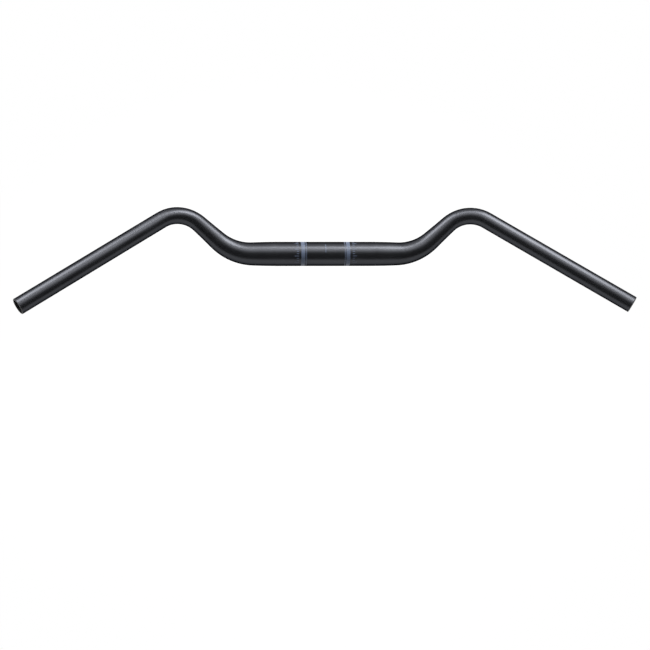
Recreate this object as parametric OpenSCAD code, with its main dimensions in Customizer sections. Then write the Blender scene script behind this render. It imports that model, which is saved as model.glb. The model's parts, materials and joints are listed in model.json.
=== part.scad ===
// Mountain bike handlebar: one butted aluminium tube, tapered and bent.
// Sizes are in millimetres. X runs along the clamp to the rider's right,
// Y forward and Z up, and the origin is the centre of the clamp.

/* [Tube] */
// Width of the bar, from end to end
bar_w = 800; // [740:1:840]
// Diameter of the middle, which the stem clamps
clamp_d = 31.8; // [30.8:0.1:35.0]
// Diameter of the outer lengths, which the grips and levers slide on
grip_d = 22.2; // [21.6:0.1:23.4]
// Length of the full-size middle, from taper to taper
clamp_l = 132; // [100:1:180]
// Length of each taper, along the bent tube
taper_l = 128; // [110:1:150]

/* [Bends] */
// Straight run from the centre to the start of the inner bend
middle_l = 95; // [91:1:115]
// Radius of the inner bend, which carries the tube forward and up
inner_bend_r = 67.5; // [55:0.5:85]
// Turn of the inner bend, in degrees
inner_bend_a = 41.8; // [34:0.1:48]
// Tilt of the inner bend above level, in degrees, which gives the rise
bend_tilt = 30; // [10:0.5:50]
// Straight run between the two bends
ramp_l = 32.5; // [22:0.5:45]
// Radius of the outer bend, which turns the tube back to the grips
outer_bend_r = 42; // [38:0.5:52]
// Sweep of the grips back towards the rider, in degrees
backsweep = 35; // [28:0.5:44]
// Slope of the grips up towards their ends, in degrees
upsweep = 0; // [0:0.5:6]

/* [Walls] */
// Wall in the clamped middle
clamp_wall = 2.8; // [2.2:0.1:3.6]
// Wall in the bends
bend_wall = 2.2; // [1.8:0.1:3.0]
// Wall at the open ends
end_wall = 1.8; // [1.5:0.1:2.6]
// Length over which the wall thins, from the start of each grip length
thinning_l = 40; // [20:1:80]
// Break on the sharp outer edge of both ends
end_break = 0.4; // [0.2:0.1:0.8]

/* [Hidden] */

// Sides and rings on the outside and in the bore of a swept length
outer_sides = 44;
bore_sides = outer_sides / 2;
outer_rings = 40;
bore_rings = 26;
// Overlap that joins two lengths of tube into one solid
lap = 0.5;
// Step at a seam, which keeps a faceted end inside a round wall
seam = 0.05;
$fn = 96;

clamp_r = clamp_d / 2;
grip_r = grip_d / 2;
clamp_bore_r = clamp_r - clamp_wall;
bend_bore_r = grip_r - bend_wall;
end_bore_r = grip_r - end_wall;

// Directions of the ramp and of the right grip
across = [0, cos(bend_tilt), sin(bend_tilt)];
ramp_dir = [cos(inner_bend_a), 0, 0] + sin(inner_bend_a) * across;
grip_dir = [
    cos(backsweep) * cos(upsweep),
    -sin(backsweep) * cos(upsweep),
    sin(upsweep)
];
outer_bend_a = acos(ramp_dir * grip_dir);

// Stations along the centreline, measured from the centre
taper_s = clamp_l / 2;
taper_e = taper_s + taper_l;
inner_s = middle_l;
ramp_s = inner_s + inner_bend_r * inner_bend_a * PI / 180;
outer_s = ramp_s + ramp_l;
grip_s = outer_s + outer_bend_r * outer_bend_a * PI / 180;

// The swept length takes in the taper and both bends
swept_s = min(taper_s, inner_s);
swept_e = max(taper_e, grip_s);

function unit(v) = v / norm(v);

// v turned by angle a around the unit vector k
function turned(v, k, a) =
    v * cos(a) + cross(k, v) * sin(a) + k * (k * v) * (1 - cos(a));

// Axis that each bend turns around
inner_axis = unit(cross([1, 0, 0], ramp_dir));
outer_axis = unit(cross(ramp_dir, grip_dir));

// Point at angle a on an arc that leaves p along d and turns around k
function arc_centre(p, d, k, r) = p + cross(k, d) * r;
function on_arc(p, d, k, r, a) =
    arc_centre(p, d, k, r) - turned(cross(k, d), k, a) * r;

inner_p = [inner_s, 0, 0];
ramp_p = on_arc(inner_p, [1, 0, 0], inner_axis, inner_bend_r, inner_bend_a);
outer_p = ramp_p + ramp_dir * ramp_l;
grip_p = on_arc(outer_p, ramp_dir, outer_axis, outer_bend_r, outer_bend_a);

// The grip length ends where its corner reaches the bar's width
corner = (grip_r - end_break) * sqrt(1 - pow(grip_dir[0], 2));
grip_l = (bar_w / 2 - grip_p[0] - corner) / grip_dir[0];
end_s = grip_s + grip_l;

// Turn made in each bend by station s, in degrees
function inner_turn(s) =
    max(0, min(inner_bend_a, (s - inner_s) / inner_bend_r * 180 / PI));
function outer_turn(s) =
    max(0, min(outer_bend_a, (s - outer_s) / outer_bend_r * 180 / PI));

// A direction at the centre, carried along the centreline without twist
function carried(v, s) =
    turned(turned(v, inner_axis, inner_turn(s)), outer_axis, outer_turn(s));

// Point on the centreline at station s
function centreline(s) =
    s <= inner_s ? [s, 0, 0]
    : s <= ramp_s ? on_arc(inner_p, [1, 0, 0], inner_axis, inner_bend_r, inner_turn(s))
    : s <= outer_s ? ramp_p + ramp_dir * (s - ramp_s)
    : s <= grip_s ? on_arc(outer_p, ramp_dir, outer_axis, outer_bend_r, outer_turn(s))
    : grip_p + grip_dir * (s - grip_s);

// Share of the taper passed at station s, eased at both ends
function eased(k) = k * k * (3 - 2 * k);
function tapered(s) = eased(max(0, min(1, (s - taper_s) / taper_l)));

// Radius of the outside and of the bore at station s
function outer_r(s) = clamp_r + (grip_r - clamp_r) * tapered(s);
function bore_r(s) = outer_r(s) - clamp_wall + (clamp_wall - bend_wall) * tapered(s);

// Ring of points around the centreline at station s
function ring(s, r, sides) = [
    for (j = [0 : sides - 1])
        let (t = 360 * j / sides)
            centreline(s) + r * carried([0, cos(t), sin(t)], s)
];

// Triangles between rings of points, whose first point has the number first
function skin(first, rings, sides) = [
    for (i = [0 : rings - 1], j = [0 : sides - 1])
        let (k = (j + 1) % sides, p = first + i * sides, q = p + sides)
            each [[p + j, q + j, q + k], [p + j, q + k, p + k]]
];

// Triangles of a flat end, from the outer ring to a bore of half as many sides
function end_face(outer, bore) = [
    for (j = [0 : bore_sides - 1])
        let (
            a = outer + 2 * j,
            b = a + 1,
            c = outer + (2 * j + 2) % outer_sides,
            d = bore + j,
            e = bore + (j + 1) % bore_sides
        )
            each [[a, b, d], [b, e, d], [b, c, e]]
];

function flipped(faces) = [for (f = faces) [f[0], f[2], f[1]]];

// Tapered and bent length of tube, from station a to station b
module swept_length(a, b) {
    outer = [
        for (i = [0 : outer_rings])
            let (s = a + (b - a) * i / outer_rings)
                each ring(s, outer_r(s) - seam, outer_sides)
    ];
    bore = [
        for (i = [0 : bore_rings])
            let (s = a + (b - a) * i / bore_rings)
                each ring(s, bore_r(s) / cos(180 / bore_sides) + seam, bore_sides)
    ];
    n = len(outer);
    polyhedron(
        concat(outer, bore),
        concat(
            skin(0, outer_rings, outer_sides),
            flipped(skin(n, bore_rings, bore_sides)),
            end_face(0, n),
            flipped(end_face(outer_rings * outer_sides, n + bore_rings * bore_sides))
        ),
        convexity = 6
    );
}

// Places what is drawn along Z at station s, heading along the centreline
module placed_at(s) {
    x = carried([0, 1, 0], s);
    y = carried([0, 0, 1], s);
    z = carried([1, 0, 0], s);
    p = centreline(s);
    multmatrix([
        [x[0], y[0], z[0], p[0]],
        [x[1], y[1], z[1], p[1]],
        [x[2], y[2], z[2], p[2]],
        [0, 0, 0, 1]
    ])
        children();
}

// Full-size middle, with round walls for the stem
module clamp_length() {
    rotate([0, 90, 0])
        difference() {
            cylinder(h = 2 * swept_s, r = clamp_r, center = true);
            cylinder(h = 2 * swept_s + 2, r = clamp_bore_r, center = true);
        }
}

// Straight length for the grip and levers, turned as one profile
module grip_length() {
    l = end_s - swept_e;
    placed_at(swept_e)
        rotate_extrude()
            polygon([
                [bend_bore_r, 0],
                [grip_r, 0],
                [grip_r, l - end_break],
                [grip_r - end_break, l],
                [end_bore_r, l],
                [end_bore_r, thinning_l]
            ]);
}

// Everything to the right of the middle
module half() {
    grip_length();
    swept_length(swept_s - lap, swept_e + lap);
}

module handlebar() {
    color("#26262b") {
        clamp_length();
        half();
        mirror([1, 0, 0])
            half();
    }
}

handlebar();
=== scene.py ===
import json
import math

import bpy
from mathutils import Matrix, Vector


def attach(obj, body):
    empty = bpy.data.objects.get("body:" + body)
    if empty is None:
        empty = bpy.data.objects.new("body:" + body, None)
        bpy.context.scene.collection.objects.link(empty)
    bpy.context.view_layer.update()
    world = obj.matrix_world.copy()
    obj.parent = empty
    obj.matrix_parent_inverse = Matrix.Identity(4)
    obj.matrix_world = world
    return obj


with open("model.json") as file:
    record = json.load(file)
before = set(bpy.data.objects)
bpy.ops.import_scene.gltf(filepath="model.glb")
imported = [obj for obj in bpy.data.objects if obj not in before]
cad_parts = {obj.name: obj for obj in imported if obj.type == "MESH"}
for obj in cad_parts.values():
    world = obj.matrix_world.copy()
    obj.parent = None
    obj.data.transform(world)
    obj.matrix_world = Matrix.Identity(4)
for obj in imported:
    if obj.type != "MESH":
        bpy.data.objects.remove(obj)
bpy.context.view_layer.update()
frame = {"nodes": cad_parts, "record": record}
bar = frame["nodes"]["handlebar"]
mounts = {m["name"]: m for m in frame["record"]["mounts"]}
scene = bpy.context.scene
scene.view_settings.view_transform = "Standard"

# All lengths are in metres. These sizes come from the record's mounts
CLAMP_R = mounts["stem_clamp"]["dims"]["r_mm"] / 1000
GRIP_R = mounts["grip_right"]["dims"]["r_mm"] / 1000
GRIP_MIDDLE = mounts["grip_right"]["pos_m"]
GRIP_DIR = mounts["grip_right"]["axis"]
GRIP_HALF = mounts["grip_right"]["dims"]["length_mm"] / 2000


# Node helpers


def new_material(name):
    m = bpy.data.materials.new(name)
    m.use_nodes = True
    return m, m.node_tree, m.node_tree.nodes["Principled BSDF"]


def add(tree, kind, inputs=(), **settings):
    n = tree.nodes.new(kind)
    for key, value in settings.items():
        setattr(n, key, value)
    for key, value in dict(inputs).items():
        n.inputs[key].default_value = value
    return n


def math_node(tree, operation, a, b=None):
    """Output of a Math node. Each operand is a number or a socket."""
    n = add(tree, "ShaderNodeMath", operation=operation)
    for socket, value in zip(n.inputs, (a, b)):
        if isinstance(value, (int, float)):
            socket.default_value = value
        elif value is not None:
            tree.links.new(value, socket)
    return n.outputs[0]


def step(tree, value, low, high):
    """0 below low and 1 above high, eased between."""
    n = add(
        tree,
        "ShaderNodeMapRange",
        {"From Min": low, "From Max": high},
        interpolation_type="SMOOTHSTEP",
    )
    tree.links.new(value, n.inputs["Value"])
    return n.outputs[0]


def noise(tree, place, scale, detail, roughness):
    n = add(
        tree,
        "ShaderNodeTexNoise",
        {"Scale": scale, "Detail": detail, "Roughness": roughness},
    )
    tree.links.new(place, n.inputs["Vector"])
    return n.outputs["Fac"]


# Most of a noise lies between these values
NOISE_SPAN = (0.3, 0.7)


def ramp(tree, source, low, high):
    """Colour or grey value that goes from low to high over the noise's span."""
    r = tree.nodes.new("ShaderNodeValToRGB")
    for e, at, v in zip(r.color_ramp.elements, NOISE_SPAN, (low, high)):
        e.position = at
        e.color = (*v, 1) if isinstance(v, tuple) else (v, v, v, 1)
    tree.links.new(source, r.inputs["Fac"])
    return r.outputs["Color"]


def bump(tree, bsdf, source, strength, distance):
    b = add(tree, "ShaderNodeBump", {"Strength": strength, "Distance": distance})
    tree.links.new(source, b.inputs["Height"])
    tree.links.new(b.outputs["Normal"], bsdf.inputs["Normal"])


def mix_shaders(tree, share, first, second):
    """Output of a Mix Shader, which shows the second shader by its share."""
    n = tree.nodes.new("ShaderNodeMixShader")
    for socket, value in zip(n.inputs, (share, first, second)):
        tree.links.new(value, socket)
    return n.outputs[0]


# Mask of the cut ends and of the bore, which are duller than the outside

# Depths in the wall of 1.8 mm between which outside turns into bore
WALL_OUTER = 0.0011
WALL_INNER = 0.0013
# Length over which the bore's mask comes in, at the inner end of each grip
BORE_FADE = 0.01
# The cut's mask starts this far before the end
CUT_DEPTH = 0.0001


def cut_and_bore(tree, place):
    """Mask of the square-cut ends and of the bore that is seen through them."""

    def times(a, b):
        return math_node(tree, "MULTIPLY", a, b)

    def less(a, b):
        return math_node(tree, "SUBTRACT", a, b)

    split = add(tree, "ShaderNodeSeparateXYZ")
    tree.links.new(place, split.inputs[0])
    # Without its sign, x makes the right grip's mask serve the left one too
    dx = less(math_node(tree, "ABSOLUTE", split.outputs["X"]), GRIP_MIDDLE[0])
    dy = less(split.outputs["Y"], GRIP_MIDDLE[1])
    dz = less(split.outputs["Z"], GRIP_MIDDLE[2])
    along = math_node(tree, "ADD", times(dx, GRIP_DIR[0]), times(dy, GRIP_DIR[1]))
    across = less(times(dx, -GRIP_DIR[1]), times(dy, -GRIP_DIR[0]))
    squares = [math_node(tree, "POWER", d, 2.0) for d in (across, dz)]
    radius = math_node(tree, "SQRT", math_node(tree, "ADD", *squares))
    inner = less(1.0, step(tree, radius, GRIP_R - WALL_INNER, GRIP_R - WALL_OUTER))
    bore = times(inner, step(tree, along, -GRIP_HALF, -GRIP_HALF + BORE_FADE))
    cut = step(tree, along, GRIP_HALF - CUT_DEPTH, GRIP_HALF)
    return math_node(tree, "MAXIMUM", bore, cut)


# Satin black of the tube: blasted, then dyed, with painted shade on its rims


def satin_black():
    m, t, p = new_material("satin_black")
    place = add(t, "ShaderNodeTexCoord").outputs["Object"]
    grit = noise(t, place, 2600, 2, 0.6)
    cloud = noise(t, place, 38, 4, 0.55)
    black = ramp(t, cloud, (0.049, 0.0505, 0.0565), (0.055, 0.057, 0.0635))
    t.links.new(black, p.inputs["Base Color"])
    t.links.new(ramp(t, cloud, 0.30, 0.35), p.inputs["Roughness"])
    bump(t, p, grit, 0.12, 0.00005)
    p.inputs["Metallic"].default_value = 1.0
    # A black tint takes the white off the rims: painted shade, which stands in for dark
    # surroundings mirrored at grazing angles
    p.inputs["Specular Tint"].default_value = (0.0, 0.0, 0.0, 1)
    # The cut ends and the bore are duller, without a metal's sheen
    raw = add(t, "ShaderNodeBsdfPrincipled", {"Metallic": 0.0})
    lathe = noise(t, place, 900, 3, 0.6)
    dull = ramp(t, lathe, (0.018, 0.018, 0.020), (0.028, 0.028, 0.031))
    t.links.new(dull, raw.inputs["Base Color"])
    t.links.new(ramp(t, lathe, 0.45, 0.55), raw.inputs["Roughness"])
    both = mix_shaders(t, cut_and_bore(t, place), p.outputs[0], raw.outputs[0])
    t.links.new(both, t.nodes["Material Output"].inputs["Surface"])
    return m


# Slate print on the middle


def slate_print():
    m, t, p = new_material("slate_print")
    place = add(t, "ShaderNodeTexCoord").outputs["Object"]
    speck = noise(t, place, 1800, 3, 0.6)
    slate = ramp(t, speck, (0.073, 0.094, 0.144), (0.087, 0.112, 0.172))
    t.links.new(slate, p.inputs["Base Color"])
    t.links.new(ramp(t, speck, 0.4, 0.46), p.inputs["Roughness"])
    bump(t, p, speck, 0.08, 0.00003)
    return m


# Smooth shading of the faceted CAD mesh

# Corners closer than this are one, and edges sharper than this stay sharp
MERGE_DISTANCE = 0.000002
SHARP_ANGLE = math.radians(28)


def rounded_shading(o):
    """Shades a mesh's facets as the round tube they stand for."""
    g = bpy.data.node_groups.new("rounded_shading", "GeometryNodeTree")
    for way in ("INPUT", "OUTPUT"):
        g.interface.new_socket("Geometry", in_out=way, socket_type="NodeSocketGeometry")
    merge = add(g, "GeometryNodeMergeByDistance", {"Distance": MERGE_DISTANCE})
    g.links.new(g.nodes.new("NodeGroupInput").outputs[0], merge.inputs["Geometry"])
    angle = add(g, "GeometryNodeInputMeshEdgeAngle").outputs["Unsigned Angle"]
    normals = add(g, "GeometryNodeSetMeshNormal", mode="SHARPNESS")
    g.links.new(merge.outputs[0], normals.inputs[0])
    sharp = math_node(g, "GREATER_THAN", angle, SHARP_ANGLE)
    g.links.new(sharp, normals.inputs["Edge Sharpness"])
    g.links.new(normals.outputs[0], g.nodes.new("NodeGroupOutput").inputs[0])
    o.modifiers.new("rounded_shading", "NODES").node_group = g


rounded_shading(bar)
bar.data.materials.clear()
bar.data.materials.append(satin_black())

# Printed marks, which lie on the clamp's round wall

# Height of the print on the wall
PRINT_LIFT = 0.00004
PRINT = slate_print()
# Angles are in degrees from the back of the tube, up over its top. Each ring
# is open underneath, this far to both sides
SEAM = 8
RING_START, RING_END = -90 + SEAM, 270 - SEAM
PATCH_STEP = 4
# Places along the tube, measured from its centre, and widths
RING_AT = 0.0296
RING_W = 0.0050
LINE_AT = 0.0254
LINE_W = 0.0009
SCALE_AT = 0.0352
TICK_W = 0.0028
LONG_TICK_W = 0.0056
CENTRE_MARK_W = 0.001
# Angles of the ticks and of the centre mark
TICK_A = 3.4
TICK_STEP = 11
TICK_MIDDLE = 84
TICKS_EACH_WAY = 6
LONG_TICK_EVERY = 3
CENTRE_MARK_START, CENTRE_MARK_END = 68, 112


def patches(name, areas):
    """One piece from patches (x0, x1, a0, a1) that follow the round middle."""
    r = CLAMP_R + PRINT_LIFT
    verts, faces = [], []
    for x0, x1, a0, a1 in areas:
        n = max(1, math.ceil((a1 - a0) / PATCH_STEP))
        first = len(verts)
        for i in range(n + 1):
            a = math.radians(a0 + (a1 - a0) * i / n)
            for x in (x0, x1):
                verts.append((x, -r * math.cos(a), r * math.sin(a)))
        for v in range(first, first + 2 * n, 2):
            faces.append((v, v + 1, v + 3, v + 2))
    mesh = bpy.data.meshes.new(name)
    mesh.from_pydata(verts, [], faces)
    mesh.materials.append(PRINT)
    for f in mesh.polygons:
        f.use_smooth = True
    o = bpy.data.objects.new(name, mesh)
    scene.collection.objects.link(o)
    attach(o, "root")


def band(sign, start, end):
    """Stretch of the tube from start to end, on the side that sign gives."""
    return sorted((sign * start, sign * end))


def ring_area(sign, at, width):
    return (*band(sign, at - width / 2, at + width / 2), RING_START, RING_END)


def tick_area(sign, k):
    w = TICK_W if k % LONG_TICK_EVERY else LONG_TICK_W
    a = TICK_MIDDLE + TICK_STEP * k
    return (*band(sign, SCALE_AT, SCALE_AT + w), a - TICK_A / 2, a + TICK_A / 2)


tick_numbers = range(-TICKS_EACH_WAY, TICKS_EACH_WAY + 1)
for side, sign in (("left", -1), ("right", 1)):
    patches(f"ring_{side}", [ring_area(sign, RING_AT, RING_W)])
    patches(f"line_{side}", [ring_area(sign, LINE_AT, LINE_W)])
    patches(f"scale_{side}", [tick_area(sign, k) for k in tick_numbers])
centre_band = (-CENTRE_MARK_W / 2, CENTRE_MARK_W / 2)
patches("centre_mark", [(*centre_band, CENTRE_MARK_START, CENTRE_MARK_END)])

# Floor and world, which camera and mirrored rays see as plain white

FLOOR_Z = -0.40
FLOOR_HALF = 30.0
FLOOR_GREY = 0.45
# White that the floor adds near the bar for rays that show the background
FLOOR_LIFT = 0.58
# Distances from the bar's centre over which the floor turns plain white
FLOOR_NEAR, FLOOR_FAR = 0.25, 0.7
# Strength of the world's light on the bar and the floor
AMBIENT = 0.3
WHITE = (1, 1, 1, 1)


def grey(value):
    return (value, value, value, 1)


def rectangle(name, x, y0, y1, z):
    """Flat object from -x to x and from y0 to y1."""
    mesh = bpy.data.meshes.new(name)
    corners = [(-x, y0, z), (x, y0, z), (x, y1, z), (-x, y1, z)]
    mesh.from_pydata(corners, [], [(0, 1, 2, 3)])
    o = bpy.data.objects.new(name, mesh)
    scene.collection.objects.link(o)
    return o


def background_rays(tree):
    """1 for rays that show the background, and 0 for rays that carry light."""
    rays = tree.nodes.new("ShaderNodeLightPath").outputs
    seen = math_node(tree, "MAXIMUM", rays["Is Camera Ray"], rays["Is Glossy Ray"])
    return math_node(tree, "MAXIMUM", seen, rays["Is Transmission Ray"])


def floor_material():
    m = bpy.data.materials.new("floor_white")
    m.use_nodes = True
    t = m.node_tree
    t.nodes.clear()
    rays = background_rays(t)
    # Near the bar the floor keeps its shadow, and farther out it is plain white
    matt = add(t, "ShaderNodeBsdfDiffuse", {"Color": grey(FLOOR_GREY)})
    glow = add(t, "ShaderNodeEmission", {"Color": WHITE})
    t.links.new(math_node(t, "MULTIPLY", rays, FLOOR_LIFT), glow.inputs["Strength"])
    near = t.nodes.new("ShaderNodeAddShader")
    t.links.new(matt.outputs[0], near.inputs[0])
    t.links.new(glow.outputs[0], near.inputs[1])
    far = add(t, "ShaderNodeEmission", {"Color": WHITE, "Strength": 1.0})
    place = t.nodes.new("ShaderNodeTexCoord")
    length = add(t, "ShaderNodeVectorMath", operation="LENGTH")
    t.links.new(place.outputs["Object"], length.inputs[0])
    spread = step(t, length.outputs["Value"], FLOOR_NEAR, FLOOR_FAR)
    share = math_node(t, "MULTIPLY", spread, rays)
    out = t.nodes.new("ShaderNodeOutputMaterial")
    both = mix_shaders(t, share, near.outputs[0], far.outputs[0])
    t.links.new(both, out.inputs["Surface"])
    return m


floor = rectangle("floor", FLOOR_HALF, -FLOOR_HALF, FLOOR_HALF, FLOOR_Z)
floor.data.materials.append(floor_material())

world = bpy.data.worlds.new("world")
scene.world = world
world.use_nodes = True
wt = world.node_tree
strength = add(wt, "ShaderNodeMapRange", {"To Min": AMBIENT, "To Max": 1.0})
wt.links.new(background_rays(wt), strength.inputs["Value"])
wt.links.new(strength.outputs[0], wt.nodes["Background"].inputs["Strength"])
wt.nodes["Background"].inputs["Color"].default_value = WHITE

# Lamps, ahead of the bar and above it

LAMP_DISTANCE = 1.8


def aimed(o, at):
    """Puts an object at a place, facing the bar's centre."""
    o.location = at
    o.rotation_euler = (Vector((0, 0, 0)) - at).to_track_quat("-Z", "Y").to_euler()


def softbox(name, azimuth, elevation, size, watts):
    """Area lamp; azimuth 0 is ahead and counts up to the rider's right."""
    lamp = bpy.data.lights.new(name, "AREA")
    lamp.shape = "RECTANGLE"
    lamp.size, lamp.size_y = size
    lamp.energy = watts
    o = bpy.data.objects.new(name, lamp)
    scene.collection.objects.link(o)
    a, e = math.radians(azimuth), math.radians(elevation)
    ahead = Vector((math.sin(a) * math.cos(e), math.cos(a) * math.cos(e), math.sin(e)))
    aimed(o, ahead * LAMP_DISTANCE)
    o.visible_camera = False


softbox("right_key", 36, 47, (0.64, 1.1), 26)
softbox("left_key", -38, 46, (0.62, 0.95), 17.5)
softbox("centre_fill", 2, 56, (0.75, 0.55), 6.5)
softbox("top_fill", 12, 80, (1.3, 0.5), 4.2)

# A grey card behind the camera keeps the near side of the black tube deep

CARD_DISTANCE = 3.0
CARD_ELEVATION = math.radians(46)
CARD_HALF = 5.5
CARD_LOW, CARD_HIGH = -2.5, 1.7
CARD_GREY = 0.42

card = rectangle("card", CARD_HALF, CARD_LOW, CARD_HIGH, 0)
card_material, _, card_shader = new_material("card_grey")
card_shader.inputs["Base Color"].default_value = grey(CARD_GREY)
card_shader.inputs["Roughness"].default_value = 1.0
card.data.materials.append(card_material)
behind = Vector((0, -math.cos(CARD_ELEVATION), math.sin(CARD_ELEVATION)))
aimed(card, behind * CARD_DISTANCE)
card.visible_camera = False
card.visible_shadow = False
card.visible_diffuse = False

# Camera, fitted to the outline of the bar in the photograph

DISTANCE = 2.3521
ELEVATION = math.radians(62.336)
AZIMUTH = math.radians(-12.5)
ROLL = math.radians(10.862)
FOCAL_PX = 1791.1
FRAME_PX = 650
# Where the bar's origin shows in the frame, from its top left corner
ORIGIN_PX = (324.76, 253.92)
SENSOR_MM = 36

away = Vector(
    (
        math.sin(AZIMUTH) * math.cos(ELEVATION),
        -math.cos(AZIMUTH) * math.cos(ELEVATION),
        math.sin(ELEVATION),
    )
)
right = Vector((math.cos(AZIMUTH), math.sin(AZIMUTH), 0))
up = away.cross(right)
right, up = (
    right * math.cos(ROLL) + up * math.sin(ROLL),
    up * math.cos(ROLL) - right * math.sin(ROLL),
)
sideways = (ORIGIN_PX[0] - FRAME_PX / 2) / FOCAL_PX * DISTANCE
upwards = -(ORIGIN_PX[1] - FRAME_PX / 2) / FOCAL_PX * DISTANCE
eye = away * DISTANCE - right * sideways - up * upwards
turn = Matrix((right, up, away)).transposed().to_4x4()
lens = bpy.data.cameras.new("camera")
lens.sensor_width = SENSOR_MM
lens.lens = FOCAL_PX / FRAME_PX * SENSOR_MM
lens.clip_end = 100
camera = bpy.data.objects.new("camera", lens)
camera.matrix_world = Matrix.Translation(eye) @ turn
scene.collection.objects.link(camera)
scene.camera = camera
